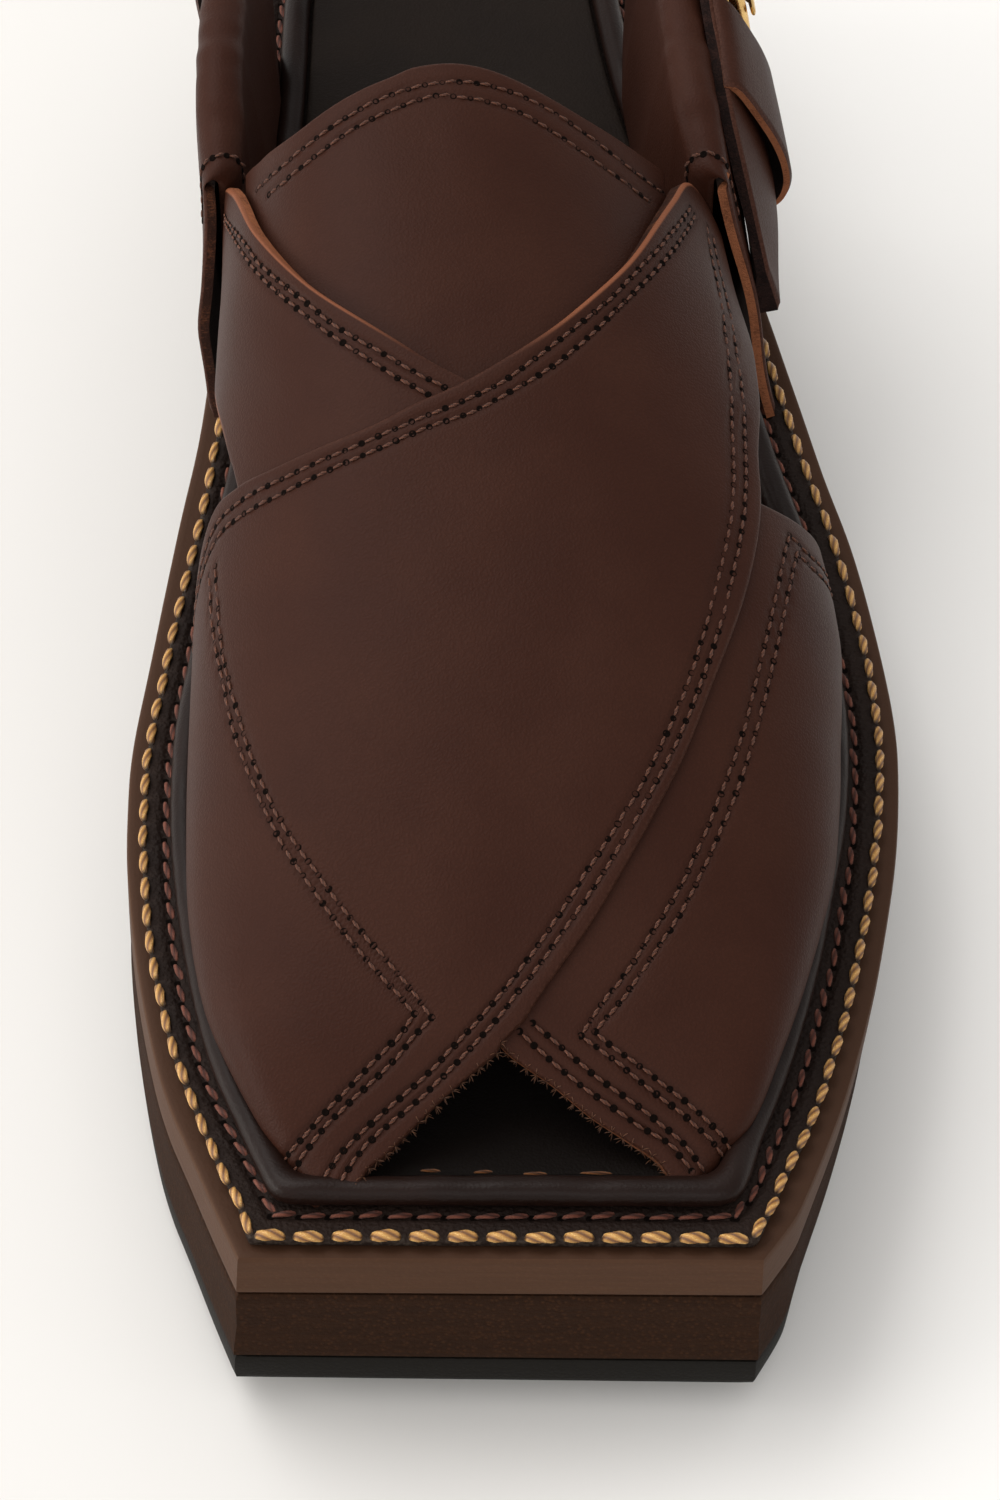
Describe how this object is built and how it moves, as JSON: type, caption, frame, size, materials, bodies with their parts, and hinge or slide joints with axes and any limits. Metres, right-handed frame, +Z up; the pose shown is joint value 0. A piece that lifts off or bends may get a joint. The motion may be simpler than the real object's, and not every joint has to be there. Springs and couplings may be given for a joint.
{
  "type": "sandal",
  "caption": "Left peshawari chappal: crossed leather vamp with open toe, slingback quarters, side buckle strap, thick square-toed sole.",
  "frame": {"origin": "middle of the base, on the ground", "axes": "+Y from toe to heel, +X to the lateral side, +Z up"},
  "size_m": [0.1114, 0.2966, 0.0935],
  "materials": {
    "vamp_leather": "brown leather with a fine grain and a low sheen",
    "dark_leather": "dark brown leather, smooth",
    "black_leather": "near-black leather, matt",
    "runner_board": "light brown sole board, matt",
    "foam": "dark brown foam rubber, rough",
    "rubber": "black rubber, matt",
    "brass": "polished brass"
  },
  "bodies": {
    "root": {"outsole": "rubber", "heel": "rubber", "midsole": "foam", "runner": "runner_board", "welt": "black_leather", "footbed_roll": "dark_leather", "insole": "black_leather", "upper": "vamp_leather", "tongue": "vamp_leather", "quarter_medial": "vamp_leather", "quarter_lateral": "vamp_leather", "heel_strap": "vamp_leather", "keeper": "vamp_leather", "buckle_frame": "brass", "buckle_prong": "brass"}
  },
  "joints": []
}
